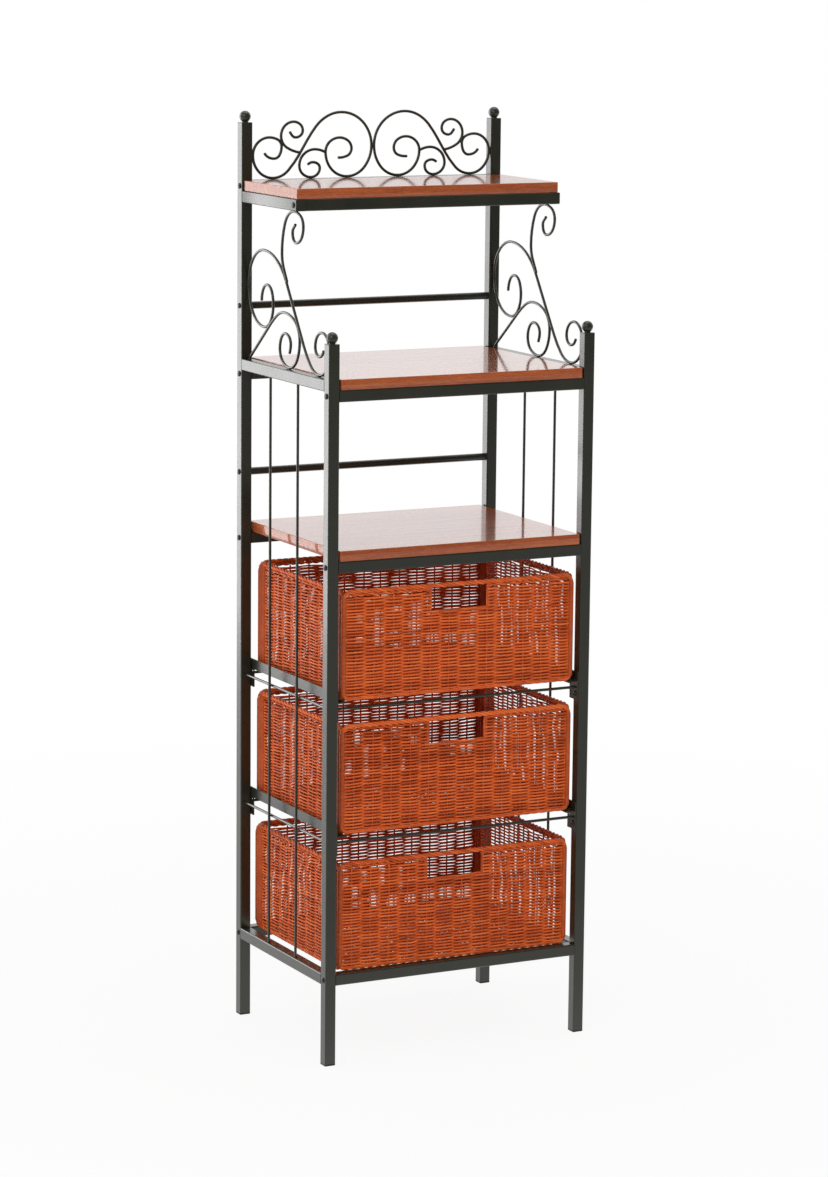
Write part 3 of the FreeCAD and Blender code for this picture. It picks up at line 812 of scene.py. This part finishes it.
def make_plain_finish(name, group, sizes, dark, light, gloss, relief=None, **surface):
    """A finish whose tone and roughness follow the mask of one pattern.

    Its relief, where it has one, is an output of the mottle, the mottle's sizes and a depth.
    """
    material, net = new_material(name)
    place = object_place(net)
    mask = net.group(group, vector=place, **sizes)["Mask"]
    if relief:
        output, relief_sizes, depth = relief
        height = net.group(mottle, vector=place, **relief_sizes)[output]
        surface["Normal"] = bump(net, height, depth)
    finish_material(net, Base_Color=ramp(net, mask, (0.0, dark), (1.0, light)),
                    Roughness=net.span(mask, *gloss), **surface)
    return material


def make_cherry():
    """Cherry-stained boards: fine straight grain along X under a hard clear lacquer.

    The end grain has soaked up its lacquer, so the two ends are duller.
    """
    material, net = new_material("cherry_lacquer")
    place = object_place(net)
    wander = net.group(mottle, vector=place, scale=5.0, detail=2.0)["Height"]
    x, y, z = net.parts(place)
    bent = net.vector(x, y + wander * 0.03, z)
    figure = net.group(streaks, vector=bent, length=0.35, width=0.011, contrast=2.2)["Mask"]
    fibre = net.group(streaks, vector=bent, length=0.03, width=0.0009, contrast=2.5)
    pores = net.group(streaks, vector=bent, length=0.006, width=0.00045, contrast=6.0)["Mask"]
    pore = net.math("POWER", pores, 3.0)
    tone = figure * 0.55 + fibre["Mask"] * 0.45
    facing_along, _, _ = net.parts(net.out("ShaderNodeTexCoord", None, "Normal"))
    end_grain = net.math("ABSOLUTE", facing_along)
    colour = ramp(net, tone - pore * 0.25, (0.1, (0.26, 0.045, 0.009)),
                  (0.5, (0.47, 0.1, 0.021)), (0.95, (0.64, 0.165, 0.038)))
    finish_material(net, IOR=1.5, Specular_IOR_Level=0.3, Coat_Roughness=0.09, Coat_IOR=1.6,
                    Coat_Weight=net.span(end_grain, 1.0, 0.55), Base_Color=colour,
                    Roughness=net.span(tone, 0.42, 0.3) + end_grain * 0.15,
                    Normal=bump(net, fibre["Height"] - pore * 0.6, 0.00006))
    return material


def make_cane(name, tones, coat, crevice_shade):
    """Stained cane: each strand has its own tone, with fibres along it.

    Painted shade darkens the two edges of each strand, in the crevices between rows, by the
    crevice shade value.
    """
    material, net = new_material(name)
    along, around, strand, edge = [
        net.out("ShaderNodeAttribute", None, "Fac", attribute_name=attribute)
        for attribute in ("along", "around", "strand", "edge")]
    run = net.vector(along, around * 0.012, strand * 0.5)
    fibre = net.group(streaks, vector=run, length=0.03, width=0.0011, contrast=2.2)
    patch = net.group(mottle, vector=net.vector(along, strand * 3.0), scale=26.0,
                      contrast=2.2)["Mask"]
    stain = net.group(mottle, vector=object_place(net), scale=9.0, contrast=1.8)["Mask"]
    tone = strand * 0.34 + patch * 0.26 + stain * 0.2 + fibre["Mask"] * 0.2
    # painted shade: darker towards each strand's top and bottom edges, in the crevices between
    # rows
    tone = tone - net.math("POWER", net.math("ABSOLUTE", edge), 4.0) * crevice_shade
    finish_material(net, IOR=1.5, Specular_IOR_Level=0.25, Coat_Weight=coat,
                    Coat_Roughness=0.25,
                    Base_Color=ramp(net, tone, *zip((0.0, 0.18, 0.5, 0.85), tones)),
                    Roughness=net.span(fibre["Mask"], 0.5, 0.36),
                    Normal=bump(net, fibre["Height"], 0.00022))
    return material


powder_coat = make_plain_finish(        # satin charcoal, with the orange peel of baked powder
    "powder_coat", mottle, {"scale": 14.0, "contrast": 1.6}, (0.016, 0.017, 0.009),
    (0.025, 0.026, 0.014), (0.30, 0.40), ("Height", {"scale": 620.0, "detail": 1.0}, 0.00003),
    IOR=1.5, Coat_Weight=0.5, Coat_Roughness=0.2)
bolt_coat = make_plain_finish(          # glossier black of the bolt heads
    "bolt_coat", mottle, {"scale": 260.0, "contrast": 2.0}, (0.012, 0.012, 0.011),
    (0.022, 0.022, 0.02), (0.22, 0.34), IOR=1.5)
foot_plastic = make_plain_finish(
    "foot_plastic", mottle, {"scale": 180.0, "contrast": 2.5}, (0.014, 0.014, 0.014),
    (0.03, 0.03, 0.03), (0.5, 0.7), ("Mask", {"scale": 180.0, "contrast": 2.5}, 0.00005),
    IOR=1.48)
insert_steel = make_plain_finish(
    "insert_steel", streaks, {"length": 0.004, "width": 0.0003}, (0.42, 0.42, 0.41),
    (0.6, 0.6, 0.59), (0.25, 0.45), Metallic=1.0)
cherry = make_cherry()
cane = make_cane("woven_cane", ((0.18, 0.023, 0.006), (0.47, 0.072, 0.013),
                                (0.86, 0.148, 0.028), (0.96, 0.255, 0.058)), 0.0, 0.42)
smooth_cane = make_cane("smooth_cane", ((0.3, 0.04, 0.009), (0.4, 0.058, 0.012),
                                        (0.62, 0.115, 0.024), (0.76, 0.18, 0.045)), 0.1, 0.0)


# ---- frame
def middle_of(node):
    low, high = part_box(node)
    return (low + high) / 2


def dress_tubes():
    """Every square tube gets rolled corners; the arms' front ends are closed and eased."""
    endings = ("_post_left", "_post_right", "_rail", "_rail_left", "_rail_right",
               "top_arm_left", "top_arm_right")
    for node in sorted(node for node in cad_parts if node.endswith(endings)):
        ease = arm_end_radius if "arm" in node else 0.0
        mesh = rounded_bar(*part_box(node), tube_corner_radius, edge_radius=ease)
        dress(merged(node + "_tube", [mesh], powder_coat), "frame_metal", node)


def dress_with_rods(name, paths, radius, sides, *nodes):
    """Round steel rods along the paths, as one piece in place of the nodes."""
    piece = grown(name, path_mesh(paths), rod_tree, radius=radius, sides=sides,
                  material=powder_coat)
    dress(piece, "frame_metal", *nodes)


def straight_paths(nodes):
    """A path for each straight rod, along the middle of its node's box."""
    paths = []
    for node in nodes:
        low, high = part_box(node)
        along = max(range(3), key=lambda axis: high[axis] - low[axis])
        start, end = middle_of(node), middle_of(node)
        start[along] = low[along]
        end[along] = high[along]
        paths.append(([start, end], False))
    return paths


def dress_rods():
    """Straight rods: the back tubes, the uprights and braces of the sides, the cross rods."""
    back_tubes = ["lower_back_tube", "upper_back_tube"]
    dress_with_rods("back_tubes", straight_paths(back_tubes), back_tube_radius, 32,
                    *back_tubes)
    for side in ("left", "right"):
        low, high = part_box("side_rods_" + side)
        x = (low.x + high.x) / 2
        uprights = [([Vector((x, y, low.z)), Vector((x, y, high.z))], False)
                    for y in (low.y + straight_rod_radius, high.y - straight_rod_radius)]
        braces = [level + "_side_brace_" + side for level in ("upper", "middle")]
        dress_with_rods("side_rods_and_braces_" + side, uprights + straight_paths(braces),
                        straight_rod_radius, 16, "side_rods_" + side, *braces)
    cross_rods = [f"{level}_{place}_cross_rod" for level in ("upper", "middle")
                  for place in ("front", "rear")]
    dress_with_rods("cross_rods", straight_paths(cross_rods), cross_rod_radius, 16,
                    *cross_rods)


def dress_scrollwork():
    """The crest, the two side panels and the beads where their wires are welded."""
    welds = []

    def bend_wires(name, node, corner, directions, lines, spots):
        paths = []
        for direction in directions:
            paths += [cut_wire(in_plane(corner, direction, line)) for line in lines]
            welds.extend(in_plane(corner, direction, spots))
        dress_with_rods(name, paths, wire_radius, 12, node)

    low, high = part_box("crest_scrollwork")
    corner = Vector((0, (low.y + high.y) / 2, low.z))
    bend_wires("crest_wires", "crest_scrollwork", corner, (X_AXIS, -X_AXIS),
               *scroll(CREST_WIRES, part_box("back_post_right")[0].x, high.z - low.z, 0.9))

    front_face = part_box("front_post_right")[1].y
    rail_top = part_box("middle_side_rail_right")[1].z
    lines, spots = scroll(SIDE_WIRES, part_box("back_post_right")[0].y - front_face,
                          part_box("top_arm_right")[0].z - rail_top)
    for side in ("left", "right"):
        node = "side_scrollwork_" + side
        corner = Vector((middle_of(node).x, front_face, rail_top))
        bend_wires("side_wires_" + side, node, corner, (Y_AXIS,), lines, spots)

    steps = 6
    angles = [math.pi * i / steps for i in range(steps + 1)]
    bead = [(weld_bead_radius * math.sin(angle), -weld_bead_radius * math.cos(angle))
            for angle in angles]
    set_parts("weld_beads", turned(bead, 10), [(spot, Z_AXIS) for spot in welds],
              powder_coat, "frame_metal")


def set_parts(name, part_mesh, spots, material, slot, *nodes):
    """Copies of a turned part on (place, facing) spots, as one piece of the frame."""
    part = linked(name + "_part", part_mesh)
    base = bpy.data.meshes.new(name + "_spots")
    base.from_pydata([tuple(place) for place, _ in spots], [], [])
    facing = base.attributes.new("facing", "FLOAT_VECTOR", "POINT")
    facing.data.foreach_set("vector", [value for _, axis in spots for value in axis])
    piece = grown(name, base, fixing_tree, part=part, material=material)
    bpy.data.objects.remove(part)
    dress(piece, slot, *nodes)


def bolt_head_mesh():
    """Low domed head on a short stub that goes into the tube's wall."""
    dome_rise = bolt_head_height - bolt_head_rim
    profile = [(0.0, -bolt_head_sink), (bolt_head_radius, -bolt_head_sink),
               (bolt_head_radius, bolt_head_rim)]
    steps = 5
    for i in range(1, steps):
        angle = 0.5 * math.pi * i / steps
        profile.append((bolt_head_radius * math.cos(angle),
                        bolt_head_rim + dome_rise * math.sin(angle)))
    profile.append((0.0, bolt_head_height))
    return turned(profile, 16)


def dress_fasteners():
    """Domed heads outside the posts and inside the runners' plates."""
    bolted = [f"{level}_{place}_rail" for level in ("bottom", "lower", "middle", "top")
              for place in ("front", "back")]
    rail_places = [middle_of(node) for node in bolted + ["lower_back_tube", "upper_back_tube"]]
    runner_places = [(0, middle_of(post).y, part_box(runner)[0].z + runner_bolt_rise)
                     for runner in ("upper_runner_right", "middle_runner_right")
                     for post in ("front_post_right", "back_post_right")]
    for name, places, face, outward in (
            ("rail", rail_places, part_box("front_post_right")[1].x, 1),
            ("runner", runner_places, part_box("upper_front_cross_rod")[1].x, -1)):
        spots = [(Vector((side * face, y, z)), side * outward * X_AXIS)
                 for _, y, z in places for side in (-1, 1)]
        set_parts(name + "_bolt_heads", bolt_head_mesh(), spots, bolt_coat, "bolt_metal",
                  name + "_bolts")


def dress_ends():
    """Ball finials on the posts' tops and plastic glides under their feet."""
    neck_foot = cap_height - neck_sink
    start = math.asin(neck_radius / ball_radius)
    steps = 14
    ball = [(0.0, neck_foot), (neck_radius, neck_foot)]
    for i in range(steps):
        angle = start + (math.pi - start) * i / steps
        ball.append((ball_radius * math.sin(angle),
                     ball_centre - ball_radius * math.cos(angle)))
    ball.append((0.0, ball_centre + ball_radius))
    tops = []
    caps = []
    feet = []
    for post in ("front_post_left", "front_post_right", "back_post_left", "back_post_right"):
        low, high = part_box(post)
        middle = (low + high) / 2
        tops.append((Vector((middle.x, middle.y, high.z)), Z_AXIS))
        for meshes, foot, top, edge_radius in (
                (caps, high.z, high.z + cap_height, cap_edge_radius),
                (feet, cad_bounds[0][2], low.z, foot_edge_radius)):
            meshes.append(rounded_bar(Vector((low.x, low.y, foot)),
                                      Vector((high.x, high.y, top)),
                                      tube_corner_radius, 2, edge_radius))
    set_parts("finial_balls", turned(ball, 32), tops, powder_coat, "frame_metal",
              "post_finials")
    dress(merged("finial_caps", caps, powder_coat), "frame_metal", "post_finials")
    dress(merged("glide_feet", feet, foot_plastic), "foot_plastic", "post_feet")


def dress_boards():
    for node in ("top_board", "middle_board", "lower_board"):
        mesh = rounded_bar(*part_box(node), board_corner_radius, 2, board_edge_radius)
        dress(merged(node + "_lacquered", [mesh], cherry), "board_wood", node)


def finish_kept_nodes():
    """The angle runners and the hidden inserts keep their own shapes."""
    kept = {"rail_inserts": insert_steel}
    for level in ("upper", "middle"):
        for side in ("left", "right"):
            kept[f"{level}_runner_{side}"] = powder_coat
    for node, material in kept.items():
        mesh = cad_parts[node].data
        mesh.materials.clear()
        mesh.materials.append(material)


# ---- baskets
def bowed(centre, across, half, level, radius, bend, trim=0.0):
    """Level path in an upright plane whose two ends bend down, or up where bend is -1.

    Each bend is a quarter turn of the given radius, less the trim at its free end.
    """
    steps = 6
    bends = []
    for i in range(steps + 1):
        angle = trim + (0.5 * math.pi - trim) * i / steps
        bends.append((half - radius + radius * math.cos(angle),
                      radius * (math.sin(angle) - 1)))
    line = [(-u, v) for u, v in bends] + [(u, v) for u, v in reversed(bends)]
    return [centre + across * u + Z_AXIS * (level + bend * v) for u, v in line]


def graded(path, level, radius, at_level, at_side):
    """Girths of a bowed path, from its level stretch to where its bends stand upright."""
    return [at_level + (at_side - at_level) * abs(point.z - level) / radius
            for point in path]


def make_basket(place, seed):
    name = place + "_basket"
    rim_low, rim_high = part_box(name + "_rim")
    bottom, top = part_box(name + "_weave")[0].z, rim_high.z
    middle_y = (rim_low.y + rim_high.y) / 2
    half_x = rim_high.x - cane_inset
    half_y = (rim_high.y - rim_low.y) / 2 - cane_inset
    canes_run = cane_inset + (corner_cane_count - 0.5) * corner_cane_pitch
    band_level = top - 2 * rim_roll_radius - 0.5 * band_radius
    weave_base = 1.7 * foot_roll_radius
    weave_top = band_level - bottom - 0.8 * band_radius
    across_pitch = 2 * (rim_high.x - corner_cane_pitch) / across_stakes
    rim_level = top - rim_roll_radius
    foot_level = bottom + foot_roll_radius
    empty = bpy.data.meshes.new("empty")
    panels = [Vector((0, middle_y + sign * half_y, 0)) for sign in (-1, 1)]
    sides = [Vector((sign * half_x, middle_y, 0)) for sign in (-1, 1)]

    def add(part, node, start_mesh, tree, material=cane, **values):
        """One more piece of the basket, in place of its node of this name."""
        piece = grown(f"{name}_{part}", start_mesh, tree, material=material, **values)
        dress(piece, "wicker", f"{name}_{node}", body="basket_" + place)

    def twist(part, node, paths, radius, strands, turn, shift):
        add(part, node, path_mesh(paths), twist_tree, strands=strands, pitch=turn,
            strand_radius=0.5 * radius, twist_radius=0.5 * radius, seed=seed + shift)

    def roll(part, node, level, radius, bend_radius, bend, strands, turn, shift):
        """A rolled border round the basket, made of a length along each of its sides."""
        paths = []
        for spots, across, half in ((panels, X_AXIS, half_x), (sides, Y_AXIS, half_y)):
            for spot in spots:
                path = bowed(spot, across, half, level, bend_radius, bend, roll_trim)
                girths = graded(path, level, bend_radius, 1.0, roll_end_girth)
                paths.append((path, False, girths))
        twist(part, node, paths, radius, strands, turn, shift)

    add("walls", "weave", empty, wall_tree, half_width=half_x, half_depth=half_y,
        row_length=2 * half_x, side_row_length=2 * (half_y - side_row_gap),
        across_pitch=across_pitch,
        along_pitch=2 * (half_y + cane_inset - canes_run) / along_stakes,
        base=weave_base, height=weave_top - weave_base,
        hole_bottom=top - bottom - hand_hole_drop, seed=float(seed),
        place=(0.0, middle_y, bottom))
    add("floor", "weave", empty, floor_tree, row_length=2 * half_x, depth=2 * half_y,
        across_pitch=across_pitch, seed=seed + 50.0,
        place=(0.0, middle_y, bottom + cane_inset))
    roll("rim_roll", "rim", rim_level, rim_roll_radius, panel_top_radius, 1, rim_strands,
         rim_turn, 1.0)
    roll("foot_roll", "weave", foot_level, foot_roll_radius, panel_foot_radius, -1,
         foot_strands, foot_turn, 2.0)

    hole = hand_hole_half_width
    side_reach = half_y - (corner_cane_count - 1) * corner_cane_pitch
    band_ends = [(-half_x, -half_y, -hole, -half_y), (hole, -half_y, half_x, -half_y),
                 (-half_x, half_y, half_x, half_y),
                 (-half_x, -side_reach, -half_x, side_reach),
                 (half_x, -side_reach, half_x, side_reach)]
    lengths = [([Vector((x0, middle_y + y0, band_level)),
                 Vector((x1, middle_y + y1, band_level))], False)
               for x0, y0, x1, y1 in band_ends]
    twist("band", "weave", lengths, band_radius, band_strands, band_turn, 3.0)

    canes = []
    for spot in panels:
        over = bowed(spot, X_AXIS, half_x, rim_level, panel_top_radius, 1)
        under = bowed(spot, X_AXIS, half_x, foot_level, panel_foot_radius, -1)
        girths = (graded(over, rim_level, panel_top_radius, rim_cane_girth, 1.0)
                  + graded(under, foot_level, panel_foot_radius, foot_cane_girth, 1.0)[::-1])
        canes.append((over + under[::-1], True, girths))
    for side in sides:
        for sign in (-1, 1):
            for index in range(1, corner_cane_count):
                y = sign * (half_y - index * corner_cane_pitch)
                canes.append(([side + Y_AXIS * y + Z_AXIS * foot_level,
                               side + Y_AXIS * y + Z_AXIS * rim_level], False))
    add("corner_canes", "corner_rods", path_mesh(canes), rod_tree, smooth_cane,
        radius=corner_cane_radius, sides=14)

    edge_x = hand_hole_half_width + hole_edge_radius
    hole_foot = top - hand_hole_drop - hole_edge_radius
    corners = [Vector((x, middle_y - half_y, z)) for x, z in
               ((-edge_x, rim_level), (-edge_x, hole_foot), (edge_x, hole_foot),
                (edge_x, rim_level))]
    add("hand_hole_edge", "weave", path_mesh([(bent_path(corners, hole_bend_radius), False)]),
        rod_tree, smooth_cane, radius=hole_edge_radius, sides=12)


def bent_path(corners, radius):
    """The path through the corners with each inner one rounded."""
    steps = 4
    path = [corners[0]]
    for before, corner, after in zip(corners, corners[1:], corners[2:]):
        into = (before - corner).normalized() * radius
        out = (after - corner).normalized() * radius
        for i in range(steps + 1):
            angle = 0.5 * math.pi * i / steps
            path.append(corner + into * (1 - math.sin(angle)) + out * (1 - math.cos(angle)))
    return path + [corners[-1]]


# ---- stage
def make_stage():
    """Pale floor that fades to the white surroundings away from the rack."""
    radius, depth = 9.0, 0.02
    disc = turned([(0, -depth), (radius, -depth), (radius, 0.0), (0, 0.0)], 64)
    material, net = new_material("floor_paper")
    seen = net.add("ShaderNodeLightPath").outputs
    paper = net.out("ShaderNodeBsdfDiffuse", {"Color": (0.86, 0.86, 0.86, 1)})
    x, y, _ = net.parts(object_place(net))
    mirrored = net.span(y, 0.5, 1.0, start=-0.9, end=-0.2)      # dimmer before the rack
    glow = net.out("ShaderNodeEmission",
                   {"Color": (1, 1, 1, 1),
                    "Strength": net.math("MAXIMUM", seen["Is Camera Ray"], mirrored)})
    far = net.span(net.math("SQRT", x * x + y * y), 0.91, 1.0, start=0.6, end=2.6)
    visible = net.math("MAXIMUM", seen["Is Camera Ray"], seen["Is Glossy Ray"])
    surface = net.out("ShaderNodeMixShader", {0: visible * far, 1: paper, 2: glow})
    net.add("ShaderNodeOutputMaterial", {"Surface": surface})
    merged("studio_floor", [disc], material)


def make_world():
    """White surroundings for the eye and for reflections, and soft plain light."""
    world = bpy.data.worlds.new("studio")
    bpy.context.scene.world = world
    world.use_nodes = True
    world.node_tree.nodes.clear()
    net = Net(world.node_tree)
    seen = net.add("ShaderNodeLightPath").outputs
    _, y, z = net.parts(net.out("ShaderNodeTexCoord", None, "Generated"))
    back = (net.span(y, 0.12, 1.0, start=-0.5, end=0.3)
            * net.span(z, 0.5, 1.0, start=0.05, end=0.115))
    light, mirrored, white = [
        net.out("ShaderNodeBackground", {"Color": (1, 1, 1, 1), "Strength": strength})
        for strength in (0.62, back, 1.0)]
    mirror = net.math("MAXIMUM", seen["Is Glossy Ray"], seen["Is Transmission Ray"])
    light = net.out("ShaderNodeMixShader", {0: mirror, 1: light, 2: mirrored})
    light = net.out("ShaderNodeMixShader", {0: seen["Is Camera Ray"], 1: light, 2: white})
    net.add("ShaderNodeOutputWorld", {"Surface": light})


RACK_MIDDLE = (0.0, 0.0, 0.8)
# name, place, target, width, height, radiance and what the lamp leaves unlit
LAMPS = [
    ("key_front_left", (-2.6, -2.4, 3.0), RACK_MIDDLE, 2.0, 2.0, 2.2, None),
    ("overhead", (0.4, 0.2, 4.2), RACK_MIDDLE, 2.5, 2.5, 1.2, None),
    ("sheen_card", (-2.1, 3.3, 1.2), (-0.2, 0.0, 1.0), 2.0, 3.6, 3.6, "visible_diffuse"),
    ("board_card", (2.3, 4.5, 1.9), RACK_MIDDLE, 3.2, 2.2, 0.16, "visible_diffuse"),
    ("left_fill", (-3.6, 0.2, 1.6), RACK_MIDDLE, 1.5, 1.5, 1.5, "visible_glossy"),
]


def make_lamps():
    """Large rectangular lamps that the camera doesn't see."""
    for name, place, target, width, height, radiance, unlit in LAMPS:
        lamp = bpy.data.lights.new(name, "AREA")
        lamp.shape = "RECTANGLE"
        lamp.size = width
        lamp.size_y = height
        lamp.energy = radiance * math.pi * width * height
        piece = linked(name, lamp)
        ahead = Vector(target) - Vector(place)
        turn = ahead.to_track_quat("-Z", "Y").to_matrix().to_4x4()
        piece.matrix_world = Matrix.Translation(place) @ turn
        piece.visible_camera = False
        if unlit:
            setattr(piece, unlit, False)


def make_camera():
    """Low three-quarter view from the front left with a long lens."""
    yaw, pitch, roll = [math.radians(angle) for angle in (27.15, 9.92, 0.567)]
    ahead = Vector((math.sin(yaw) * math.cos(pitch), math.cos(yaw) * math.cos(pitch),
                    -math.sin(pitch)))
    right = Vector((math.cos(yaw), -math.sin(yaw), 0))
    up = right.cross(ahead)
    across = right * math.cos(roll) + up * math.sin(roll)
    above = up * math.cos(roll) - right * math.sin(roll)
    lens = bpy.data.cameras.new("camera")
    lens.sensor_fit = "VERTICAL"
    lens.sensor_height = 36.0
    lens.lens = 118.5
    lens.clip_end = 200.0
    camera = linked("camera", lens)
    turn = Matrix((across, above, -ahead)).transposed().to_4x4()
    camera.matrix_world = Matrix.Translation((-3.050, -5.954, 1.956)) @ turn
    bpy.context.scene.camera = camera


make_camera()
dress_tubes()
dress_rods()
dress_scrollwork()
dress_fasteners()
dress_ends()
dress_boards()
finish_kept_nodes()
for number, basket_place in enumerate(("upper", "middle", "lower")):
    make_basket(basket_place, 3 + 5 * number)
make_stage()
make_world()
make_lamps()
bpy.context.scene.view_settings.view_transform = "Standard"
